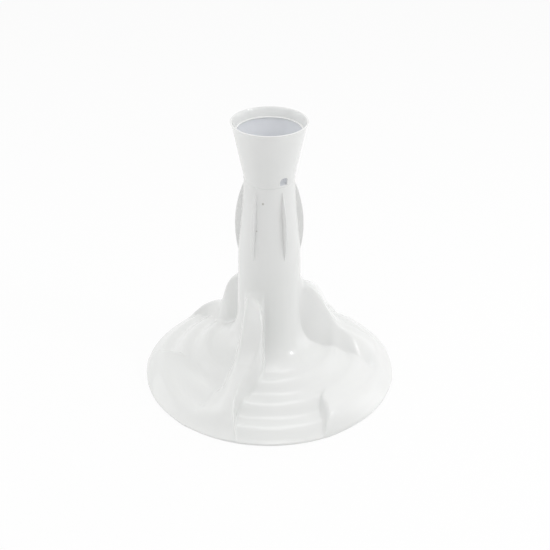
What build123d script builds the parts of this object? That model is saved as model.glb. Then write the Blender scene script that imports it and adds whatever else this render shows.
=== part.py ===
"""Agitator of a top-loading washing machine, in millimetres, +Z up, standing on its rim.

The front of the part faces -Y. An azimuth is counted from the front, positive towards +X.
"""
from build123d import *
from math import ceil, cos, degrees, pi, radians, sin, sqrt, tan
import os

os.makedirs("parts", exist_ok=True)

# Skirt: a shallow rippled cone that stands on its rim
skirt_radius = 175.0
skirt_rim_height = 5.5
skirt_foot_radius = 72.0
skirt_foot_height = 49.7
wall = 3.0
ripple_height = 2.3
ripple_pitch = 32.5
last_tread_inset = 26.5

# Post: a slightly tapered tube that narrows to a neck
post_foot_radius = 43.8
post_foot_height = 105.0
post_shoulder_radius = 41.2
post_shoulder_height = 208.0
post_waist_radius = 35.0
post_waist_height = 268.0
neck_radius = 33.5
neck_height = 305.5

# Funnel: the flared mouth above the neck
mouth_radius = 49.7
mouth_lip = 1.2
funnel_height = 73.0
funnel_wall = 2.4
lip_height = 9.0
cup_ledge_depth = 11.5
cup_ledge_width = 2.2
cup_ledge_thickness = 1.8
floor_drop = 3.5
bolt_access_radius = 12.0
bolt_collar_height = 8.0
bolt_collar_wall = 2.0
drain_azimuth = -87.0
drain_width = 11.0
drain_height = 11.5

# Crescent fins on the upper post
fin_azimuths = (-90.0, -30.0)
fin_thickness = 2.6
fin_reach = 8.6
fin_top = 298.0
fin_bottom = 195.0

# Main vanes: hollow wedges that run from the post out to the rim. The part repeats with them, and each
# repeat ends on plain skirt, at the seam
vane_count = 3
seam_azimuth = 14.0
vane_azimuth = -21.0
vane_rise = 88.0
vane_round = 7.0
vane_root = 3.0
# Each station, from the post outwards: its share of the way to the rim, then the far and the near
# edge of the crest as shares of the rise, and the offsets of far edge, near edge, far foot, near foot
vane_stations = [
    (-0.06, 1.02, 0.93, -15.0, 6.0, -22.0, 9.0),
    (0.047, 1.03, 0.94, -15.0, 8.0, -26.0, 11.0),
    (0.12, 0.97, 0.91, -12.5, 13.0, -28.0, 16.0),
    (0.177, 0.85, 0.855, -11.4, 16.0, -29.5, 19.0),
    (0.223, 0.73, 0.765, -10.5, 18.1, -28.5, 21.0),
    (0.268, 0.62, 0.62, -9.8, 18.3, -28.0, 21.5),
    (0.318, 0.505, 0.485, -9.3, 16.6, -28.5, 19.5),
    (0.367, 0.40, 0.40, -9.8, 14.7, -29.5, 17.5),
    (0.413, 0.335, 0.365, -10.6, 12.2, -31.0, 15.5),
    (0.505, 0.275, 0.345, -11.8, 8.0, -34.0, 11.5),
    (0.61, 0.23, 0.32, -12.3, 4.6, -37.0, 8.5),
    (0.73, 0.205, 0.27, -11.5, 4.2, -42.0, 8.0),
    (0.84, 0.145, 0.195, -9.3, 8.1, -48.0, 11.5),
    (0.91, 0.05, 0.095, -4.5, 13.7, -51.0, 17.0),
    (0.98, -0.03, -0.02, 0.0, 18.8, -53.0, 22.0),
]

# Low vanes, midway between the main ones: a leaning wall with a ramp behind it. The ramp stays level
# for the first part of its turn
ramp_azimuth = -96.0
ramp_level_turn = 12.0
ramp_span = 68.0
ramp_sink = 2.5
ramp_height = 32.0
ramp_root_radius = 98.0
ramp_calm = 0.85
ramp_round = 28.0
ramp_lean = 27.0
ramp_bow = 1.0

# Drive tube inside the post
tube_radius = 24.0
tube_wall = 3.0
tube_bottom = 34.0
tube_top = 150.0
web_thickness = 3.0
bolt_hole_radius = 6.5
rib_azimuths = (-54.0, 6.0)
rib_thickness = 2.4
rib_reach = 116.0
rib_clear_height = 14.0

# Drive insert, pressed into the tube from below
fit_clearance = 0.1
insert_length = 66.0
flange_radius = 28.0
flange_thickness = 4.0
key_count = 3
key_azimuth = -84.0
key_width = 6.0
key_height = 18.0
key_clearance = 0.2
spline_teeth = 20
spline_root_radius = 12.0
spline_tip_radius = 10.8

# Seal ring on top of the insert, round the end of the shaft
seal_radius = 13.0
seal_thickness = 4.0
seal_play = 0.1

skirt_slope = (skirt_foot_height - skirt_rim_height) / (skirt_radius - skirt_foot_radius)
skirt_drop = wall * sqrt(1 + skirt_slope ** 2)
mouth_height = neck_height + funnel_height
floor_top = neck_height - floor_drop
tube_bore = tube_radius - tube_wall
insert_radius = tube_bore - fit_clearance
insert_top = tube_bottom + insert_length


def turned(azimuth, shape):
    """A shape built along +X, turned to an azimuth."""
    return Rot(0, 0, azimuth - 90) * shape


def at_azimuth(radius, azimuth):
    """The plan position at a radius and an azimuth."""
    return (radius * sin(radians(azimuth)), -radius * cos(radians(azimuth)))


def around(count, first, shape):
    """Copies of a shape built along +X, spaced evenly round the axis."""
    return [turned(first + 360 * i / count, shape) for i in range(count)]


def spread(first, last, step):
    """Evenly spaced values from first to last, at most a step apart."""
    count = ceil(abs(last - first) / step)
    return [first + (last - first) * i / count for i in range(count + 1)]


def revolved(sides, corners, arc=360.0):
    """A solid turned about the axis from its side curves and the corners that close it."""
    outline = [*sides, *Polyline(*corners).edges()]
    return revolve(Plane.XZ * make_face(outline), Axis.Z, revolution_arc=arc)


def post_mounted_cylinder(radius, bottom, top):
    """An upright cylinder on the axis between two heights."""
    up = (Align.CENTER, Align.CENTER, Align.MIN)
    return Pos(0, 0, bottom) * Cylinder(radius, top - bottom, align=up)


def skirt_line(radius):
    """Height of the skirt without its ripples."""
    return skirt_foot_height - skirt_slope * (radius - skirt_foot_radius)


def ripple(radius):
    """Height of the ripples above the skirt's mean line, level at each tread."""
    return ripple_height * sin(2 * pi * (radius - skirt_radius + last_tread_inset) / ripple_pitch)


def skirt_side(edge_radius, drop):
    """The rippled side of the skirt, from its rim in to the foot of the post."""
    radii = spread(edge_radius, skirt_foot_radius, ripple_pitch / 6)
    return Spline(*[(r, skirt_line(r) + ripple(r) - drop) for r in radii])


def foot_side(inset, drop):
    """The hollow curve that leads from the skirt into the post."""
    start = (skirt_foot_radius, skirt_foot_height + ripple(skirt_foot_radius) - drop)
    end = (post_foot_radius - inset, post_foot_height)
    run = (start[0] - end[0]) * 0.55
    rise = (end[1] - start[1]) * 0.6
    return Bezier(start, (start[0] - run, start[1] + skirt_slope * run), (end[0], end[1] - rise), end)


def post_side(inset):
    """The side of the post, from the foot curve up to the neck."""
    middle_radius = (post_foot_radius + post_shoulder_radius) / 2
    middle_height = (post_foot_height + post_shoulder_height) / 2
    points = [
        (post_foot_radius, post_foot_height),
        (middle_radius, middle_height),
        (post_shoulder_radius, post_shoulder_height),
        (post_waist_radius, post_waist_height),
        (neck_radius, neck_height),
    ]
    return Spline(*[(r - inset, z) for r, z in points], tangents=[(0, 1), (0, 1)])


def funnel_sides(inset):
    """The straight flare of the funnel, and the lip round its mouth."""
    flare_end = (mouth_radius - mouth_lip - inset, mouth_height - lip_height)
    lip_slope = (mouth_radius - neck_radius) / funnel_height
    flare_end = (flare_end[0] - lip_slope * lip_height, flare_end[1])
    flare = Line((neck_radius - inset, neck_height), flare_end)
    lip = Bezier(flare_end, (flare_end[0] + lip_slope * lip_height, mouth_height - lip_height * 0.2),
                 (mouth_radius - inset, mouth_height))
    return [flare, lip]


def outer_skin_third():
    """A third of everything inside the outer skin of skirt, post and funnel."""
    skirt = skirt_side(skirt_radius, 0)
    sides = [skirt, foot_side(0, 0), post_side(0), *funnel_sides(0)]
    corners = [(mouth_radius, mouth_height), (0, mouth_height), (0, 0), (skirt_radius, 0), skirt @ 0]
    return turned(seam_azimuth - 360 / vane_count, revolved(sides, corners, 360 / vane_count))


def lower_hollow():
    """The space under the skirt and inside the post, up to the floor of the funnel."""
    edge = skirt_radius - wall
    skirt = skirt_side(edge, skirt_drop)
    sides = [skirt, foot_side(wall, skirt_drop), post_side(wall)]
    corners = [(neck_radius - wall, neck_height), (0, neck_height), (0, -wall), (edge, -wall), skirt @ 0]
    above_floor = post_mounted_cylinder(neck_radius, floor_top - wall, mouth_height)
    return revolved(sides, corners) - above_floor


def funnel_hollow():
    """The inside of the funnel, above its floor, without the ledge and the collar."""
    flare, lip = funnel_sides(funnel_wall)
    neck = neck_radius - funnel_wall
    corners = [(mouth_radius - funnel_wall, mouth_height), (0, mouth_height), (0, floor_top),
               (neck, floor_top), (neck, neck_height)]
    hollow = revolved([flare, lip], corners)
    ledge_top = mouth_height - cup_ledge_depth
    ledge_radius = mouth_radius - funnel_wall - mouth_lip
    ledge_radius -= (mouth_radius - neck_radius) / funnel_height * cup_ledge_depth + cup_ledge_width
    ring = post_mounted_cylinder(mouth_radius, ledge_top - cup_ledge_thickness, ledge_top)
    hollow -= ring - post_mounted_cylinder(ledge_radius, floor_top, mouth_height)
    collar_top = floor_top + bolt_collar_height
    collar = post_mounted_cylinder(bolt_access_radius + bolt_collar_wall, floor_top, collar_top)
    return hollow - collar


def drain_hole():
    """An arched hole through the funnel wall, just above the funnel's floor."""
    straight = drain_height - drain_width / 2
    outline = Pos(0, straight / 2) * Rectangle(drain_width, straight)
    outline += Pos(0, straight) * Circle(drain_width / 2)
    through = extrude(outline, mouth_radius)
    upright = Plane(origin=(neck_radius / 2, 0, floor_top), x_dir=(0, 1, 0), z_dir=(1, 0, 0))
    return upright * through


def crescent_fin():
    """A thin blade that stands out from the post in a shallow arc."""
    middle = (fin_top + fin_bottom) / 2
    arc = ThreePointArc((neck_radius - wall / 2, fin_top),
                        (post_waist_radius + fin_reach + wall / 2, middle),
                        (post_shoulder_radius - wall / 2, fin_bottom))
    chord = Line(arc @ 1, arc @ 0)
    blade = extrude(Plane.XZ * make_face([arc, chord]), fin_thickness / 2, both=True)
    return blade


def inset_path(path, inset):
    """A path of corners moved to its right by an inset."""
    lines = []
    for (x0, y0), (x1, y1) in zip(path, path[1:]):
        along = (x1 - x0, y1 - y0)
        share = inset / sqrt(along[0] ** 2 + along[1] ** 2)
        lines.append(((x0 + along[1] * share, y0 - along[0] * share), along))
    moved = [lines[0][0]]
    for (start, along), (other, onward) in zip(lines, lines[1:]):
        cross = along[0] * onward[1] - along[1] * onward[0]
        share = ((other[0] - start[0]) * onward[1] - (other[1] - start[1]) * onward[0]) / cross
        moved.append((start[0] + along[0] * share, start[1] + along[1] * share))
    start, along = lines[-1]
    moved.append((start[0] + along[0], start[1] + along[1]))
    return moved


def vane_section(station, inset):
    """The outline of a main vane across its length, as a face standing at one reach."""
    share, far_rise, near_rise, far_edge, near_edge, far_foot, near_foot = station
    reach = post_foot_radius + share * (skirt_radius - post_foot_radius)
    crown = []
    for rise, edge, foot in ((far_rise, far_edge, far_foot), (near_rise, near_edge, near_foot)):
        crest = skirt_line(reach) + rise * vane_rise
        ground = skirt_line(sqrt(reach ** 2 + foot ** 2))
        buried = 1 + vane_root / max(crest - ground, vane_root)
        crown.append([(edge, crest), (edge + (foot - edge) * buried, crest + (ground - crest) * buried)])
    (far_top, far_low), (near_top, near_low) = crown
    path = inset_path([far_low, far_top, near_top, near_low], inset)
    rounding = (vane_round - inset) * (1 - 0.45 * max(share, 0))
    crest_line = FilletPolyline(*path, radius=rounding)
    floor = -4 * wall
    sides = Polyline(crest_line @ 1, (path[-1][0], floor), (path[0][0], floor), crest_line @ 0)
    face = make_face([*crest_line.edges(), *sides.edges()])
    upright = Plane(origin=(reach - inset, 0, 0), x_dir=(0, 1, 0), z_dir=(1, 0, 0))
    return upright * face


def main_vane(inset):
    """A main vane as a smooth solid through its sections."""
    stations = vane_stations if inset == 0 else vane_stations[:-1]
    return loft([vane_section(station, inset) for station in stations])


def ramp_share(turn):
    """How much of the low vane's lift is left at a turn behind its wall."""
    descent = max(turn - ramp_level_turn, 0.0) / (ramp_span - ramp_level_turn)
    return (1 - descent) ** 1.3


def ramp_section(turn, edge_radius, drop):
    """The outline of the ramp in the upright plane at a turn behind the low vane's wall."""
    share = ramp_share(turn)
    round_start = skirt_radius - ramp_round
    top = []
    for radius in spread(edge_radius, ramp_root_radius, ripple_pitch / 6):
        ease = 1 - (max(radius - round_start, 0.0) / ramp_round) ** 2
        lift = (ramp_height - skirt_line(radius)) * ease
        height = skirt_line(radius) + ripple(radius) * (1 - ramp_calm * share) + share * lift
        height -= ramp_sink * (1 - share)
        top.append((radius, height - drop))
    crown = Spline(*top)
    sides = Polyline(crown @ 1, (ramp_root_radius, -4 * wall), (edge_radius, -4 * wall), crown @ 0)
    return turned(ramp_azimuth + turn, Plane.XZ * make_face([crown, *sides.edges()]))


def ahead_of_wall(shift):
    """The plan area in front of the low vane's wall, with the wall's line moved back by a shift."""
    inner = ramp_root_radius - 8
    bowed = [(inner, 2 * ramp_bow), (skirt_radius - 40, ramp_bow), (skirt_radius + 4, -ramp_bow)]
    line = Spline(*[at_azimuth(r, ramp_azimuth + turn + degrees(shift / r)) for r, turn in bowed])
    front = Polyline(line @ 1, at_azimuth(skirt_radius + 20, ramp_azimuth - 25),
                     at_azimuth(inner, ramp_azimuth - 25), line @ 0)
    return make_face([line, *front.edges()])


def low_vane(inset):
    """A low vane: a ramp that climbs to a wall that leans back a little."""
    drop = 0 if inset == 0 else skirt_drop
    edge = skirt_radius + wall
    ramp = loft([ramp_section(turn, edge, drop) for turn in spread(-6.0, ramp_span, 8.0)])
    ramp &= post_mounted_cylinder(skirt_radius - inset, -2 * wall, 2 * ramp_height)
    draft = tan(radians(ramp_lean))
    inner_shift = inset / cos(radians(ramp_lean))
    levels = [-2 * wall, 2 * ramp_height]
    cutter = loft([Pos(0, 0, z) * ahead_of_wall(inner_shift + z * draft) for z in levels], ruled=True)
    return ramp - cutter


def inner_works():
    """The drive tube with its web, and the ribs of one third that tie it to the post and the skirt."""
    works = post_mounted_cylinder(tube_radius, tube_bottom, tube_top)
    works += post_mounted_cylinder(post_foot_radius, tube_top - web_thickness, tube_top)
    rib_root = tube_radius - tube_wall / 2
    rib = Plane.XZ * make_face(Polyline((rib_root, tube_bottom), (flange_radius + wall, tube_bottom),
                                        (rib_reach, rib_clear_height), (rib_reach, tube_top),
                                        (rib_root, tube_top), close=True))
    rib = extrude(rib, rib_thickness / 2, both=True)
    works += [turned(azimuth, rib) for azimuth in rib_azimuths]
    bore_top = tube_top - web_thickness
    works -= post_mounted_cylinder(tube_bore, 0, bore_top)
    works -= post_mounted_cylinder(bolt_hole_radius, bore_top - wall, tube_top + wall)
    slot_width = key_width + 2 * key_clearance
    slot_top = tube_bottom + key_height + key_clearance
    slot = Pos(tube_radius, 0, slot_top / 2) * Box(2 * tube_wall + 1, slot_width, slot_top)
    return works - turned(key_azimuth, slot)


def moulding_third():
    """A third of the moulding: one main vane, one low vane, two fins and what lies between the seams."""
    third = outer_skin_third()
    third += turned(vane_azimuth, main_vane(0))
    third += low_vane(0)
    third &= post_mounted_cylinder(skirt_radius, 0, mouth_height)
    works = inner_works()
    hollows = [lower_hollow(), turned(vane_azimuth, main_vane(wall)), low_vane(wall)]
    third -= [hollow - works for hollow in hollows]
    third += [turned(azimuth, crescent_fin()) for azimuth in fin_azimuths]
    third -= funnel_hollow()
    return third - turned(drain_azimuth, drain_hole())


def agitator_body():
    """The one-piece moulding: skirt, vanes, post, fins and funnel, with its inner tube."""
    third = moulding_third()
    body = third + [Rot(0, 0, 360 * i / vane_count) * third for i in range(1, vane_count)]
    return body - post_mounted_cylinder(bolt_access_radius, floor_top - 2 * wall, mouth_height)


def drive_insert():
    """The splined sleeve that carries the agitator on the machine's drive shaft."""
    insert = post_mounted_cylinder(insert_radius, tube_bottom, insert_top)
    insert += post_mounted_cylinder(flange_radius, tube_bottom - flange_thickness, tube_bottom)
    key = Box(tube_radius - insert_radius / 2, key_width, key_height)
    key_place = Pos((tube_radius + insert_radius / 2) / 2, 0, tube_bottom + key_height / 2)
    insert += around(key_count, key_azimuth, key_place * key)
    tooth = 2 * pi * spline_root_radius / spline_teeth
    groove = Trapezoid(tooth * 0.6, 2 * (spline_root_radius - spline_tip_radius), 75)
    bore = Circle(spline_tip_radius)
    for i in range(spline_teeth):
        bore += Rot(0, 0, 360 * i / spline_teeth - 90) * Pos(0, spline_tip_radius) * groove
    bottom = tube_bottom - flange_thickness
    insert -= Pos(0, 0, bottom) * extrude(bore, insert_length + flange_thickness)
    seat_radius = seal_radius + seal_thickness / 2 + seal_play
    return insert - post_mounted_cylinder(seat_radius, insert_top - seal_thickness, insert_top)


def seal_ring():
    """The rubber ring that lies in the top of the insert."""
    ring = Torus(seal_radius, seal_thickness / 2)
    return Pos(0, 0, insert_top - seal_thickness / 2) * ring


nodes = {
    "agitator_body": agitator_body(),
    "drive_insert": drive_insert(),
    "seal_ring": seal_ring(),
}
for name, solid in nodes.items():
    export_step(solid, f"parts/{name}.step")
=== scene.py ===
from math import asin, atan2, cos, degrees, pi, radians, sin, sqrt, tan

import bmesh
import bpy
from mathutils import Matrix, Vector
from mathutils.geometry import interpolate_bezier


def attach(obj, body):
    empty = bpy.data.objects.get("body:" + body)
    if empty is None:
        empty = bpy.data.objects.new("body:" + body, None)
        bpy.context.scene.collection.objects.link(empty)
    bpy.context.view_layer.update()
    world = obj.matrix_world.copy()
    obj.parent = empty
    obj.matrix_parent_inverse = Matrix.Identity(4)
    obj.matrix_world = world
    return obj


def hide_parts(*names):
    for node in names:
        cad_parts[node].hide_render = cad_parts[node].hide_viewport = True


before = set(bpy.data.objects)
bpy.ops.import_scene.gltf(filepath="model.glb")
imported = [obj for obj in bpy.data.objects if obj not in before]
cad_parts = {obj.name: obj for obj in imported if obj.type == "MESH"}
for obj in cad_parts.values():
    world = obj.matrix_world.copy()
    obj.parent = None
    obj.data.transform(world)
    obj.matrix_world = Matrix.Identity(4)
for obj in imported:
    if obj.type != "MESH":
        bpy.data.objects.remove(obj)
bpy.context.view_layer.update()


# The shell is the outside of the one-piece moulding: the rippled skirt, its three hollow main vanes and
# three low vanes, and the post up to the neck. It is injection moulded in glossy white polypropylene with
# an even 3 mm wall, and every corner of the mould is rounded, so the vanes flow out of skirt and post.
mm = 0.001
thirds = 3
third = 360 / thirds
wall = 3.0

rim_radius = 175.0
rim_height = 5.5
foot_radius = 72.0
foot_height = 49.7
slope = (foot_height - rim_height) / (rim_radius - foot_radius)
ripple_height = 2.3
ripple_pitch = 32.5
ripple_start = 68.0
ripple_full = 82.0
last_tread = rim_radius - 26.5

# The post's line in heights and radii, and the bend that leads from the skirt up to it
post_line = [(105.0, 43.8), (125.0, 43.4), (150.0, 42.8), (175.0, 42.2), (208.0, 41.2), (238.0, 38.2),
             (268.0, 35.0), (290.0, 33.8), (305.5, 33.5)]
post_base_height, post_base_radius = post_line[0]
bend_run = 15.5
bend_height = 72.0
bend_steps = 8


def level(table, place, column=1):
    """A column of a table, read at a place between its rows."""
    if place <= table[0][0]:
        return table[0][column]
    for low, high in zip(table, table[1:]):
        if place <= high[0]:
            share = (place - low[0]) / (high[0] - low[0])
            return low[column] + (high[column] - low[column]) * share
    return table[-1][column]


def share_of(place, start, end):
    """How far a place is on the way from start to end, from 0 to 1."""
    return min(max((place - start) / (end - start), 0.0), 1.0)


def skirt_line(radius):
    """Height of the skirt without its ripples."""
    return foot_height - slope * (radius - foot_radius)


def full_ripple(radius):
    """Height of a ripple above the skirt's mean line."""
    return ripple_height * sin(2 * pi * (radius - last_tread) / ripple_pitch)


def ripple(radius):
    """Height of the ripples, which calm down towards the post."""
    return share_of(radius, ripple_start, ripple_full) * full_ripple(radius)


# Low vanes: a ramp that stays level over the first part of its turn, then falls away behind its wall
low_azimuth = -96.0
low_bow = [(90.0, 2.0), (135.0, 1.0), (179.0, -1.0)]
low_height = 32.0
low_level_turn = 12.0
low_span = 68.0
low_fall = 1.3
low_sink = 2.5
low_round = 28.0
low_calm = 0.85
low_draft = tan(radians(27.0))
low_least_rise = 5.0
low_start_radius = 113.0
low_fade_start = 128.0
low_fade_end = 118.0
low_fade_run = 14.0
low_touch = 0.01


def ramp_height(radius, turn):
    """Height of the low vane's ramp at a turn from the foot of its wall."""
    share = (1 - share_of(turn, low_level_turn, low_span)) ** low_fall
    ease = 1 - share_of(radius, rim_radius - low_round, rim_radius) ** 2
    lift = (low_height - skirt_line(radius)) * ease
    calmed = ripple(radius) * (1 - low_calm * share)
    return skirt_line(radius) + calmed + share * lift - low_sink * (1 - share)


def wall_turns(radius):
    """Azimuths of the foot and of the top of the low vane's wall, which leans back from the front."""
    reach = max(radius, low_start_radius)
    low = skirt_line(reach) + ripple(reach)
    foot_turn = low_azimuth + level(low_bow, reach) + degrees(low_draft * low / reach)
    run = low_draft * max(ramp_height(reach, 0.0) - low, low_least_rise)
    run += low_fade_run * share_of(radius, low_fade_start, low_fade_end)
    return foot_turn, foot_turn + degrees(run / reach)


def base_height(radius, azimuth):
    """Height of the rippled skirt with the low vane's ramp on it."""
    height = skirt_line(radius) + ripple(radius)
    if wall_turns(radius)[1] - low_touch <= azimuth < low_azimuth + low_span:
        height = max(height, ramp_height(radius, azimuth - low_azimuth))
    return height


# Main vanes: reach from the axis, rise of the far and the near edge of the crest above the skirt, and the
# offsets from the vane's centre line of far edge, near edge, far foot and near foot
vane_azimuth = -21.0
vane_lines = [
    (35.9, 89.8, 81.8, -15.0, 6.0, -22.0, 9.0), (50.0, 90.6, 82.7, -15.0, 8.0, -26.0, 10.5),
    (59.5, 85.4, 80.1, -12.5, 13.0, -26.0, 14.5), (67.0, 74.8, 75.2, -11.4, 16.0, -25.0, 17.5),
    (73.1, 64.2, 67.3, -10.5, 18.1, -24.5, 19.3), (79.0, 54.6, 54.6, -9.8, 18.3, -24.5, 19.3),
    (85.5, 44.4, 42.7, -9.3, 16.6, -26.0, 19.5), (92.0, 35.2, 35.2, -9.8, 14.7, -26.0, 19.5),
    (98.0, 29.5, 32.1, -10.6, 12.2, -26.0, 18.0), (110.1, 24.2, 30.4, -11.8, 8.0, -27.5, 13.5),
    (123.8, 20.2, 28.2, -12.3, 4.6, -35.0, 10.0), (139.6, 18.0, 23.8, -11.5, 4.2, -45.0, 8.0),
    (154.0, 12.8, 17.2, -9.3, 8.1, -53.0, 11.5), (163.2, 4.4, 8.4, -4.5, 13.7, -54.0, 17.0),
    (172.4, -2.6, -1.8, 0.0, 18.8, -54.0, 22.0)]
far_rise, near_rise, far_edge, near_edge, far_foot, near_foot = range(1, 7)
turn_rounds = 6
tip_radius = 46.0
tip_end = 84.0
tip_rounding = 12.0
tip_crown = 0.75
tip_ease = 1.5


def vane_reach(radius, offset):
    """Distance along the vane's centre line of a point at a radius and an offset."""
    return sqrt(max(radius ** 2 - offset ** 2, 1.0))


def vane_turn(radius, line):
    """Azimuth at which a line of the main vane passes a radius."""
    reach = radius
    for _ in range(turn_rounds):
        offset = level(vane_lines, reach, line)
        reach = vane_reach(radius, offset)
    return vane_azimuth + degrees(asin(offset / radius))


def crest_height(radius, rise, line):
    """Height of one edge of the main vane's crest at a radius."""
    reach = vane_reach(radius, level(vane_lines, radius, line))
    return skirt_line(reach) + level(vane_lines, reach, rise)


def at(radius, azimuth, height):
    """A point in space from its radius, its azimuth from the front and its height."""
    return Vector((radius * sin(radians(azimuth)), -radius * cos(radians(azimuth)), height))


# Each row runs round the part: its radius and height on plain skirt or post, and the radius at which it
# crosses the main vane's crest, or nothing where it passes above or below the vane
rim_share = 0.55
skirt_rows = 19
vane_post_heights = (114.0, 123.0, 132.0, 140.0)
post_heights = (152.0, 160.0, 173.0, 190.0, 208.0, 238.0, 280.0, 301.0)
climb_ease = 0.9
rows = [(rim_radius, 0.0, None), (rim_radius, rim_height * rim_share, None)]
for i in range(skirt_rows + 1):
    radius = rim_radius - (rim_radius - foot_radius) * i / skirt_rows
    rows.append((radius, None, radius))
bend_points = interpolate_bezier(
    Vector((foot_radius, 0, foot_height)),
    Vector((foot_radius - bend_run, 0, foot_height + bend_run * slope)),
    Vector((post_base_radius, 0, bend_height)),
    Vector((post_base_radius, 0, post_base_height)), bend_steps)[1:]
climbing = [(point.x, point.z) for point in bend_points]
climbing += [(level(post_line, height), height) for height in vane_post_heights]
for i, (radius, height) in enumerate(climbing):
    share = (i + 1) / len(climbing)
    rows.append((radius, height, foot_radius + (tip_radius - foot_radius) * share ** climb_ease))
tip_row = len(rows)
for height in post_heights:
    rows.append((level(post_line, height), height, None))

# Room between the corners of the cage round an edge, in mm, and the most of a wall's width that it takes
corner_reach = 9.0
corner_share = 0.35
crest_reach = 6.0
fillet_reach = 4.0
fillet_share = 0.3
outer_reach = 5.0
wall_lead = 4.0
ramp_lead = 5.0

# Where the columns of the cage begin and the least width of the ramp, in degrees
seam_turn = low_azimuth - 10.0
ramp_room = 43.0

# Shares of a stretch at which its columns stand, the hollow of the vane's near wall, and the number of
# rows above the vanes in which the columns even out
spread = (0, 0.33, 0.67, 1)
near_shares = (0.55, 0.85, 1)
near_bend = 1.3
even_rows = 3


def full_size(points):
    """A row's corners moved out, so that the smoothed surface passes through the places they had."""
    turns = [atan2(point.x, -point.y) for point in points]
    steps = [turns[-1] - turns[-2]] + [b - a for a, b in zip(turns, turns[1:])] + [turns[1] - turns[0]]
    moved = []
    for point, before, after in zip(points, steps, steps[1:]):
        grown = 6 / (4 + cos(before) + cos(after))
        moved.append(Vector((point.x * grown, point.y * grown, point.z)))
    return moved


def row_points(row):
    """The corners of the cage along one row, over one third of the way round."""
    radius, height, crest = rows[row]

    def plain(azimuth):
        """The point of the row on plain skirt or post."""
        return at(radius, azimuth, base_height(radius, azimuth) if height is None else height)

    # The low vane's wall and its ramp
    foot_turn, top_turn = wall_turns(radius)
    wall_foot, wall_top = plain(foot_turn), plain(top_turn)
    points = [plain(seam_turn), plain((seam_turn + foot_turn) / 2),
              plain(foot_turn - degrees(wall_lead / radius)),
              wall_foot, (wall_foot + wall_top) / 2, wall_top]
    outer = degrees(outer_reach / radius)
    far_turn = vane_turn(radius, far_foot)
    ramp_start = top_turn + degrees(ramp_lead / radius)
    ramp_end = max(far_turn - outer, low_azimuth + ramp_room)
    points += [plain(ramp_start + (ramp_end - ramp_start) * share) for share in spread]

    # The main vane's far wall, its crest and its near wall
    near_turn = vane_turn(radius, near_foot)
    far_low, near_low = plain(far_turn), plain(near_turn)
    far_high, near_high = plain(vane_turn(radius, far_edge)), plain(vane_turn(radius, near_edge))
    rounding = 0.0
    if crest is not None:
        rounding = tip_rounding * (1 - share_of(crest, tip_radius, tip_end)) ** tip_ease
        far_z = max(crest_height(crest, far_rise, far_edge) - rounding, far_high.z)
        near_z = max(crest_height(crest, near_rise, near_edge) - rounding, near_high.z)
        far_high = at(crest, vane_turn(crest, far_edge), far_z)
        near_high = at(crest, vane_turn(crest, near_edge), near_z)
    far_length = (far_high - far_low).length
    near_length = (near_high - near_low).length
    for share in (0, min(fillet_share, fillet_reach / far_length), 0.5,
                  1 - min(corner_share, corner_reach / far_length)):
        points.append(far_low.lerp(far_high, share))
    across = min(crest_reach / (near_high - far_high).length, corner_share)
    crowned = Vector((0, 0, rounding * tip_crown))
    points += [far_high, far_high.lerp(near_high, across) + crowned,
               near_high.lerp(far_high, across) + crowned, near_high]
    for share in (min(corner_share, corner_reach / near_length), *near_shares):
        point = near_high.lerp(near_low, share ** near_bend)
        point.z = near_high.z + (near_low.z - near_high.z) * share
        points.append(point)

    # The plain skirt up to the next low vane
    last = near_turn + outer
    points += [plain(last + (seam_turn + third - last) * share) for share in spread]
    if crest is None:
        ease = share_of(row, tip_row, tip_row + even_rows)
        for column, point in enumerate(points):
            turn = degrees(atan2(point.x, -point.y))
            turn += (seam_turn + third * column / (len(points) - 1) - turn) * ease
            points[column] = at(radius, turn, point.z)
    return full_size(points)


crease = 35.0


def crease_edges(form):
    """Makes sharp the edges that bend more than the crease."""
    for edge in form.edges:
        edge.smooth = len(edge.link_faces) == 2 and edge.calc_face_angle(0) < radians(crease)


def finished(name, form, creased=True):
    """An object made from a bmesh, smooth but for its creased edges."""
    if creased:
        crease_edges(form)
    mesh = bpy.data.meshes.new(name)
    form.to_mesh(mesh)
    form.free()
    for face in mesh.polygons:
        face.use_smooth = True
    piece = bpy.data.objects.new(name, mesh)
    bpy.context.scene.collection.objects.link(piece)
    return piece


seam_gap = 0.02
cage = [row_points(row) for row in range(len(rows))]
tall, wide = len(cage) - 1, len(cage[0]) - 1
form = bmesh.new()
bmesh.ops.create_grid(form, x_segments=wide, y_segments=tall, size=1.0)
for corner in form.verts:
    column = round((corner.co.x + 1) / 2 * wide)
    row = round((corner.co.y + 1) / 2 * tall)
    corner.co = cage[row][column] * mm
bmesh.ops.spin(form, geom=form.verts[:] + form.edges[:] + form.faces[:], cent=(0, 0, 0), axis=(0, 0, 1),
               dvec=(0, 0, 0), angle=2 * pi * (thirds - 1) / thirds, steps=thirds - 1, use_duplicate=True)
bmesh.ops.remove_doubles(form, verts=form.verts[:], dist=seam_gap * mm)
bmesh.ops.recalc_face_normals(form, faces=form.faces[:])
shell = finished("shell", form, creased=False)
thickness = shell.modifiers.new("wall", "SOLIDIFY")
thickness.thickness = wall * mm
thickness.offset = -1
smooth = shell.modifiers.new("smooth", "SUBSURF")
smooth.levels = 2
smooth.render_levels = 2


class Strand:
    """A socket of a node, with sums and products that add Math nodes."""

    def __init__(self, nodes, socket):
        self.nodes = nodes
        self.socket = socket

    def __add__(self, other):
        return self.nodes.math("ADD", self, other)

    def __radd__(self, other):
        return self.nodes.math("ADD", other, self)

    def __sub__(self, other):
        return self.nodes.math("SUBTRACT", self, other)

    def __rsub__(self, other):
        return self.nodes.math("SUBTRACT", other, self)

    def __mul__(self, other):
        return self.nodes.math("MULTIPLY", self, other)

    def __rmul__(self, other):
        return self.nodes.math("MULTIPLY", other, self)


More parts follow.
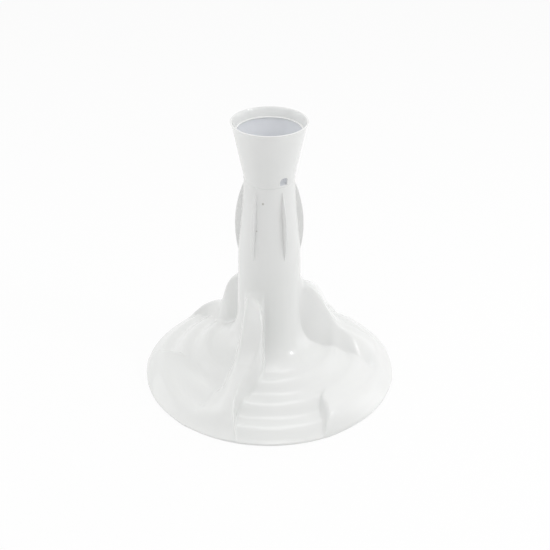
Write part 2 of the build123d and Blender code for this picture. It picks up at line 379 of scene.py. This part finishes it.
class Nodes:
    """The nodes of a material or of the surround."""

    def __init__(self, owner, shader="Principled BSDF"):
        owner.use_nodes = True
        self.owner = owner
        self.tree = owner.node_tree
        self.shader = self.tree.nodes[shader]

    def node(self, kind, settings, *values, out=0, **named):
        """A new node with its settings and the values or links of its sockets; returns one output."""
        made = self.tree.nodes.new(kind)
        for key, value in settings.items():
            if key == "stops":
                ramp = made.color_ramp
                while len(ramp.elements) < len(value):
                    ramp.elements.new(1.0)
                for element, (position, colour) in zip(ramp.elements, value):
                    element.position = position
                    element.color = colour
            else:
                setattr(made, key, value)
        for number, value in enumerate(values):
            self.feed(made.inputs[number], value)
        for socket, value in named.items():
            self.feed(made.inputs[socket.replace("_", " ")], value)
        return Strand(self, made.outputs[out])

    def feed(self, socket, value):
        """Gives a socket a value or a link."""
        if isinstance(value, Strand):
            self.tree.links.new(value.socket, socket)
        else:
            socket.default_value = value

    def set(self, **values):
        """Gives the shader's own sockets their values or links."""
        for name, value in values.items():
            self.feed(self.shader.inputs[name.replace("_", " ")], value)

    def math(self, operation, *values, clamp=False):
        """A Math node."""
        return self.node("ShaderNodeMath", {"operation": operation, "use_clamp": clamp}, *values)

    def mix(self, factor, first, second):
        """One colour turning into another."""
        mixed = self.node("ShaderNodeMix", {"data_type": "RGBA"}, factor, out=2)
        self.feed(mixed.socket.node.inputs[6], first)
        self.feed(mixed.socket.node.inputs[7], second)
        return mixed

    def ramp(self, factor, *stops):
        """A colour read from a row of positions and colours."""
        return self.node("ShaderNodeValToRGB", {"stops": stops}, factor)


# White polypropylene from a polished mould, with the faint unevenness of a large moulding that has cooled
# and of years in the wash, and two small grey marks on the post: their azimuths, heights and radii
white_shades = (0.3, (0.80, 0.81, 0.80, 1)), (0.7, (0.84, 0.845, 0.84, 1))
mark_grey = (0.56, 0.55, 0.52, 1)
mark_core, mark_edge = 0.7, 1.6
marks = (-13.6, 279.0, 1.3), (-25.5, 240.0, 0.8)
white = Nodes(bpy.data.materials.new("white_polypropylene"))
place = white.node("ShaderNodeTexCoord", {}, out="Object")
cloud = white.node("ShaderNodeTexNoise", {}, Vector=place, Scale=9.0, Detail=3.0)
grain = white.node("ShaderNodeTexNoise", {}, Vector=place, Scale=420.0, Detail=2.0)
haze = white.node("ShaderNodeTexNoise", {}, Vector=place, Scale=60.0, Detail=4.0)
mark = 0
for azimuth, height, size in marks:
    spot = at(level(post_line, height), azimuth, height) * mm
    gap = white.node("ShaderNodeVectorMath", {"operation": "DISTANCE"}, place, tuple(spot), out="Value")
    inside_spot = white.node("ShaderNodeMapRange", {"interpolation_type": "SMOOTHSTEP"}, Value=gap,
                             From_Min=size * mark_core * mm, From_Max=size * mark_edge * mm,
                             To_Min=1.0, To_Max=0.0)
    mark = inside_spot + mark
body_colour = white.mix(mark, white.ramp(cloud, *white_shades), mark_grey)
bump = white.node("ShaderNodeBump", {}, Strength=0.06, Distance=0.0004, Height=grain * 0.25 + cloud * 2.0)
white.set(Base_Color=body_colour, Roughness=0.13 + haze * 0.1, Normal=bump, IOR=1.49, Coat_Weight=0.0)
shell.data.materials.append(white.owner)
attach(shell, "root")
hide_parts("agitator_body")


# The funnel is the top of the same moulding: a straight flare above the neck with a small lip, a ledge
# inside the mouth for a cap or softener cup, and a floor with a collar round the way in to the bolt. Three
# arched holes at the floor let water out of it.
neck_radius = 33.5
neck_height = 305.5
mouth_radius = 49.7
mouth_height = 378.5
funnel_wall = 2.4
lip = 1.2
lip_height = 9.0
lip_start = mouth_height - lip_height
flare_end = mouth_radius - lip - lip_height * (mouth_radius - neck_radius) / (mouth_height - neck_height)
flare = (flare_end - neck_radius) / (lip_start - neck_height)
ledge_top = mouth_height - 11.5
ledge_thickness = 1.8
ledge_width = 2.2
ledge_bottom = ledge_top - ledge_thickness
floor_top = neck_height - 3.5
floor_bottom = floor_top - 3.0
floor_fillet = 1.2
collar_radius = 12.0
collar_outer = collar_radius + 2.0
collar_top = floor_top + 8.0
collar_fillet = 0.8
edge_break = 0.5
foot_back = 1.3
foot_rise = 1.0
flare_steps = (0.6, 20, 42)

# The lip's outside, by how far it stands out from the flare and its depth below the mouth, and the rounded
# edge of the mouth, by how far it stands back and its depth
lip_out = 2.1
lip_inner_depth = 2.8
lip_line = (1.1, 5.2), (lip_out, 2.4)
mouth_edge = (0.15, 0.7), (0.0, 0.35), (0.35, 0.0)
drain_azimuth = 33.0
drain_width = 11.0
drain_height = 11.5
drain_sill = 0.2
drain_reach = -20.0, -50.0
arch_steps = 12


def turned_piece(name, profile, steps=96):
    """A closed profile of radius and height, turned about the axis."""
    form = bmesh.new()
    corners = [form.verts.new((radius * mm, 0, height * mm)) for radius, height in profile]
    edges = [form.edges.new((a, b)) for a, b in zip(corners, corners[1:] + corners[:1])]
    bmesh.ops.spin(form, geom=corners + edges, cent=(0, 0, 0), axis=(0, 0, 1), dvec=(0, 0, 0),
                   angle=2 * pi, steps=steps, use_merge=True)
    bmesh.ops.remove_doubles(form, verts=form.verts[:], dist=0.001 * mm)
    bmesh.ops.recalc_face_normals(form, faces=form.faces[:])
    return finished(name, form)


def outer_wall(height):
    """Outer radius of the flare below the lip."""
    return neck_radius + flare * (height - neck_height)


def inner_wall(height):
    """Inner radius of the flare below the lip."""
    return outer_wall(height) - funnel_wall


ledge_radius = inner_wall(ledge_top) - ledge_width
neck_bore = neck_radius - funnel_wall
outside = [(neck_radius - foot_back, floor_bottom), (neck_radius, floor_bottom + foot_rise),
           (neck_radius, floor_top), (neck_radius, neck_height)]
outside += [(outer_wall(neck_height + step), neck_height + step) for step in flare_steps]
outside += [(flare_end, lip_start)]
outside += [(flare_end + out, mouth_height - depth) for out, depth in lip_line]
outside += [(mouth_radius - back, mouth_height - depth) for back, depth in mouth_edge]
rim_inside = [(mouth_radius - funnel_wall + edge_break, mouth_height),
              (mouth_radius - funnel_wall, mouth_height - edge_break),
              (flare_end + lip_out - funnel_wall, mouth_height - lip_inner_depth),
              (flare_end - funnel_wall, lip_start)]
inside = [(inner_wall(ledge_top), ledge_top), (ledge_radius + edge_break, ledge_top),
          (ledge_radius, ledge_top - edge_break), (ledge_radius, ledge_bottom + edge_break),
          (ledge_radius + edge_break, ledge_bottom), (inner_wall(ledge_bottom), ledge_bottom),
          (inner_wall(neck_height + 20), neck_height + 20), (neck_bore, neck_height),
          (neck_bore, floor_top + floor_fillet), (neck_bore - floor_fillet, floor_top)]
collar = [(collar_outer + collar_fillet, floor_top), (collar_outer, floor_top + collar_fillet),
          (collar_outer, collar_top - edge_break), (collar_outer - edge_break, collar_top),
          (collar_radius + edge_break, collar_top), (collar_radius, collar_top - edge_break),
          (collar_radius, floor_bottom)]
funnel = turned_piece("funnel", outside + rim_inside + inside + collar)


def plate(outline, near, far):
    """A flat outline of distance and height, drawn out across the distance from near to far."""
    form = bmesh.new()
    side = form.faces.new([form.verts.new((x * mm, near * mm, z * mm)) for x, z in outline])
    moved = bmesh.ops.extrude_face_region(form, geom=[side])["geom"]
    bmesh.ops.translate(form, verts=[v for v in moved if isinstance(v, bmesh.types.BMVert)],
                        vec=(0, (far - near) * mm, 0))
    bmesh.ops.recalc_face_normals(form, faces=form.faces[:])
    return form


def turn_to(form, azimuth):
    """Turns a form about the axis."""
    turn = Matrix.Rotation(radians(azimuth), 3, "Z")
    bmesh.ops.rotate(form, verts=form.verts[:], cent=(0, 0, 0), matrix=turn)


def drain_cutter(azimuth):
    """A prism with a flat bottom and a round top that passes through the funnel's wall."""
    half = drain_width / 2
    spring = floor_top + drain_height - half
    outline = [(-half, floor_top + drain_sill), (half, floor_top + drain_sill)]
    turns = [pi * i / arch_steps for i in range(arch_steps + 1)]
    outline += [(cos(turn) * half, spring + sin(turn) * half) for turn in turns]
    form = plate(outline, *drain_reach)
    turn_to(form, azimuth)
    return finished("drain_cutter", form)


def cut(piece, cutters):
    """Cuts each cutter out of a piece."""
    for cutter in cutters:
        step = piece.modifiers.new("cut", "BOOLEAN")
        step.operation = "DIFFERENCE"
        step.solver = "EXACT"
        step.object = cutter
    bpy.context.view_layer.update()
    mesh = bpy.data.meshes.new_from_object(piece.evaluated_get(bpy.context.evaluated_depsgraph_get()))
    form = bmesh.new()
    form.from_mesh(mesh)
    crease_edges(form)
    form.to_mesh(mesh)
    form.free()
    piece.modifiers.clear()
    piece.data = mesh
    for cutter in cutters:
        bpy.data.objects.remove(cutter)


cut(funnel, [drain_cutter(drain_azimuth + third * i) for i in range(thirds)])

# Below the ledge the inside is painted a cooler, bluish white as painted shade, and a darker painted grey
# shade down at the floor of the recess. The tone ends inside the wall, so that it shows on the inner face
# alone.
floor_painted_shade = (0.68, 0.69, 0.71, 1)
painted_cool_shade = (0.87, 0.885, 0.915, 1)
tone_depth = 1.0
tone_edge = 3000.0
ledge_shadow = 4.0
floor_shade_rise = 16.0
height = white.node("ShaderNodeSeparateXYZ", {}, place, out="Z")
level_place = white.node("ShaderNodeVectorMath", {"operation": "MULTIPLY"}, place, (1.0, 1.0, 0.0))
from_axis = white.node("ShaderNodeVectorMath", {"operation": "LENGTH"}, level_place, out="Value")
past_wall = from_axis - (height - neck_height * mm) * flare - (neck_radius - tone_depth) * mm
within = white.math("MINIMUM", 1.0 - past_wall * tone_edge, 1.0)
below_ledge = white.node("ShaderNodeMapRange", {}, Value=height, From_Min=ledge_top * mm,
                         From_Max=(ledge_top - ledge_shadow) * mm)
above_floor = white.math("GREATER_THAN", height, (floor_top - tone_depth) * mm)
# Mask of the painted shade: the inner face of the funnel between the ledge and the floor
painted_shade_mask = white.math("MULTIPLY", within, below_ledge, clamp=True) * above_floor
from_floor = white.node("ShaderNodeMapRange", {}, Value=height, From_Min=floor_top * mm,
                        From_Max=(floor_top + floor_shade_rise) * mm)
# Painted shade: darker grey at the floor, turning to the cooler painted shade higher up
painted_inside_shade = white.ramp(from_floor, (0.0, floor_painted_shade), (1.0, painted_cool_shade))
white.set(Base_Color=white.mix(painted_shade_mask, body_colour, painted_inside_shade))
funnel.data.materials.append(white.owner)
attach(funnel, "root")
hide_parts("agitator_body")


# Six thin crescent fins stand on the upper post and stir the load that floats there. They are part of the
# moulding, with the soft edges that let it out of the mould.
fin_count = 6
fin_azimuth = 30.0
fin_top = 298.0
fin_bottom = 188.0
fin_crown = 45.1
fin_top_radius = 32.0
fin_foot_radius = 39.7
fin_root = (36.0, fin_bottom + 12), (31.5, fin_top - 30)
fin_thickness = 2.6
fin_round = 0.9
fin_corner = 60.0
fin_steps = 20


def arc_through(start, middle, end, steps):
    """Points of the arc through three points of a plane."""
    a, b, c = Vector(start), Vector(middle), Vector(end)
    cross = 2 * (a.x * (b.y - c.y) + b.x * (c.y - a.y) + c.x * (a.y - b.y))
    x = (a.dot(a) * (b.y - c.y) + b.dot(b) * (c.y - a.y) + c.dot(c) * (a.y - b.y)) / cross
    y = (a.dot(a) * (c.x - b.x) + b.dot(b) * (a.x - c.x) + c.dot(c) * (b.x - a.x)) / cross
    first = atan2(a.y - y, a.x - x)
    last = atan2(c.y - y, c.x - x)
    reach = (a - Vector((x, y))).length
    turns = [first + (last - first) * i / steps for i in range(steps + 1)]
    return [(x + reach * cos(turn), y + reach * sin(turn)) for turn in turns]


fin_outline = arc_through((fin_top_radius, fin_top), (fin_crown, (fin_top + fin_bottom) / 2),
                          (fin_foot_radius, fin_bottom), fin_steps)
fin_outline += fin_root
for number in range(fin_count):
    form = plate(fin_outline, -fin_thickness / 2, fin_thickness / 2)
    edges = [edge for edge in form.edges if edge.calc_face_angle(0) > radians(fin_corner)]
    bmesh.ops.bevel(form, geom=edges, offset=fin_round * mm, offset_type="OFFSET", segments=3,
                    profile=0.5, affect="EDGES", material=-1)
    turn_to(form, fin_azimuth + 360 / fin_count * number - 90)
    fin = finished("crescent_fin_%d" % (number + 1), form)
    fin.data.materials.append(white.owner)
    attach(fin, "root")
    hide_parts("agitator_body")


# The drive tube hangs inside the post, moulded in one with it. It takes the splined insert from below, and
# a web closes it at the top, with the hole for the bolt.
tube_radius = 24.0
tube_bore = 21.0
tube_bottom = 34.0
tube_top = 150.0
tube_break = 0.4
web = 3.0
web_bottom = tube_top - web
web_radius = 41.5
bolt_radius = 6.5
tube_steps = 72
tube_line = [(tube_bore, tube_bottom + tube_break), (tube_bore + tube_break, tube_bottom),
             (tube_radius - tube_break, tube_bottom), (tube_radius, tube_bottom + tube_break),
             (tube_radius, web_bottom), (web_radius, web_bottom), (web_radius, tube_top),
             (bolt_radius, tube_top), (bolt_radius, web_bottom), (tube_bore, web_bottom)]
tube = turned_piece("drive_tube", tube_line, tube_steps)
tube.data.materials.append(white.owner)
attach(tube, "root")
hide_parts("agitator_body")


# Six ribs of the same moulding tie the tube to the post and to the underside of the skirt. Their lower edge
# rises from the tube, clear of the hub and seal that the skirt covers.
rib_count = 6
rib_azimuth = 6.0
rib_thickness = 2.4
rib_reach = 116.0
rib_clear = 14.0
rib_start = 31.0
skirt_steps = 8
overlap = 1.0
bend_inset = 1.5
sunk = wall * 0.6
rib_top = [(tube_radius - overlap, tube_top - overlap), (web_radius, tube_top - overlap)]
rib_top += [(point.x - bend_inset, point.z - overlap) for point in bend_points[::-1]]
rib_radii = [foot_radius + (rib_reach - foot_radius) * i / skirt_steps for i in range(skirt_steps + 1)]
rib_top += [(radius, skirt_line(radius) + full_ripple(radius) - sunk) for radius in rib_radii]
rib_outline = [(tube_radius - overlap, tube_bottom), (rib_start, tube_bottom), (rib_reach, rib_clear)]
rib_outline += rib_top[::-1]
for number in range(rib_count):
    form = plate(rib_outline, -rib_thickness / 2, rib_thickness / 2)
    turn_to(form, rib_azimuth + 360 / rib_count * number - 90)
    bmesh.ops.triangulate(form, faces=[face for face in form.faces if len(face.verts) > 4])
    rib = finished("rib_%d" % (number + 1), form)
    rib.data.materials.append(white.owner)
    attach(rib, "root")
    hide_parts("agitator_body")


# The drive insert is the splined sleeve that is pressed into the tube from below. It is injection moulded
# in grey glass-filled nylon, whose fibres leave the surface slightly rough.
nylon_greys = (0.35, (0.09, 0.092, 0.095, 1)), (0.7, (0.13, 0.132, 0.135, 1))
nylon = Nodes(bpy.data.materials.new("grey_nylon"))
place = nylon.node("ShaderNodeTexCoord", {}, out="Object")
fibres = nylon.node("ShaderNodeTexNoise", {}, Vector=place, Scale=900.0, Detail=3.0)
nylon.set(Base_Color=nylon.ramp(fibres, *nylon_greys), Roughness=0.42 + fibres * 0.15,
          Normal=nylon.node("ShaderNodeBump", {}, Strength=0.15, Distance=0.0002, Height=fibres))
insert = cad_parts["drive_insert"]
insert.data.materials.clear()
insert.data.materials.append(nylon.owner)


# The seal ring is moulded in black rubber, with a faint bloom on it, and lies in the groove at the top of
# the insert.
rubber_blacks = (0.3, (0.018, 0.018, 0.018, 1)), (0.8, (0.04, 0.04, 0.038, 1))
rubber = Nodes(bpy.data.materials.new("black_rubber"))
place = rubber.node("ShaderNodeTexCoord", {}, out="Object")
bloom = rubber.node("ShaderNodeTexNoise", {}, Vector=place, Scale=300.0, Detail=3.0)
rubber.set(Base_Color=rubber.ramp(bloom, *rubber_blacks), Roughness=0.55 + bloom * 0.2,
           Normal=rubber.node("ShaderNodeBump", {}, Strength=0.1, Distance=0.0002, Height=bloom))
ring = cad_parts["seal_ring"]
ring.data.materials.clear()
ring.data.materials.append(rubber.owner)


# The studio floor is a wide sheet of white paper. It glows for the camera and in reflections, so that it
# shows white there, and still takes the part's shadow.
floor_size = 6.0
floor_glow = 0.88


def seen_directly(nodes):
    """1 for a ray from the camera, from a gloss or through a clear material."""
    rays = [nodes.node("ShaderNodeLightPath", {}, out=kind)
            for kind in ("Is Camera Ray", "Is Glossy Ray", "Is Transmission Ray")]
    return nodes.math("MAXIMUM", nodes.math("MAXIMUM", rays[0], rays[1]), rays[2])


form = bmesh.new()
bmesh.ops.create_grid(form, x_segments=1, y_segments=1, size=floor_size)
floor = finished("studio_floor", form)
paper = Nodes(bpy.data.materials.new("white_paper"))
paper.set(Base_Color=(0.9, 0.9, 0.9, 1), Roughness=0.9)
glow = paper.node("ShaderNodeEmission", {}, Color=(1, 1, 1, 1), Strength=1.0)
plain_paper = Strand(paper, paper.shader.outputs[0])
floor_mix = paper.node("ShaderNodeMixShader", {}, seen_directly(paper) * floor_glow, plain_paper, glow)
paper.feed(paper.tree.nodes["Material Output"].inputs["Surface"], floor_mix)
floor.data.materials.append(paper.owner)


# The surround is white where it is seen. As a light it is plainer, and a little stronger from above and
# from behind the part.
surround_light = 0.605
surround_slant = (0.0, 0.17, 0.13)
surround = Nodes(bpy.data.worlds.new("white_surround"), "Background")
bpy.context.scene.world = surround.owner
direction = surround.node("ShaderNodeTexCoord", {}, out="Generated")
slant = surround.node("ShaderNodeVectorMath", {"operation": "DOT_PRODUCT"}, direction, surround_slant,
                      out="Value")
strength = surround.node("ShaderNodeMapRange", {}, Value=seen_directly(surround),
                         To_Min=slant + surround_light, To_Max=1.0)
surround.set(Color=(1.0, 0.998, 0.992, 1), Strength=strength)


# Soft lamps stand on both sides, above and in front, at a plain level that keeps the shades of the white
# plastic. Two smaller ones high on the right leave the gleams on it.
aim_height = 0.17


def soft_light(name, place, size, power):
    """A square lamp that points at the middle of the part."""
    lamp = bpy.data.lights.new(name, "AREA")
    lamp.energy = power
    lamp.size = size
    holder = bpy.data.objects.new(name, lamp)
    bpy.context.scene.collection.objects.link(holder)
    holder.location = place
    aim = Vector((0, 0, aim_height)) - Vector(place)
    holder.rotation_euler = aim.to_track_quat("-Z", "Y").to_euler()


soft_light("light_right", (1.6, 0.25, 0.4), 1.1, 3.8)
soft_light("light_left", (-1.6, 0.25, 0.4), 1.1, 3.6)
soft_light("light_top", (0.1, 0.1, 2.0), 1.0, 7)
soft_light("light_front", (-1.1, -1.3, 1.3), 1.2, 4)
soft_light("light_glow", (1.25, -0.6, 1.15), 0.6, 2.2)
soft_light("light_key", (1.25, -0.55, 1.2), 0.1, 1.8)


# The camera stands at the photograph's viewing angle, about 36 degrees above the horizon, and looks at the
# middle of the part. Its small shift is the photograph's own framing.
lens = bpy.data.cameras.new("camera")
lens.lens = 69.6
lens.sensor_width = 36.0
lens.shift_x = 0.0103
lens.clip_end = 50.0
camera = bpy.data.objects.new("camera", lens)
bpy.context.scene.collection.objects.link(camera)
camera.location = (0.0, -1.2423, 0.8953)
camera.rotation_euler = (radians(59.17), 0.0, 0.0)
bpy.context.scene.camera = camera
bpy.context.scene.view_settings.view_transform = "Standard"
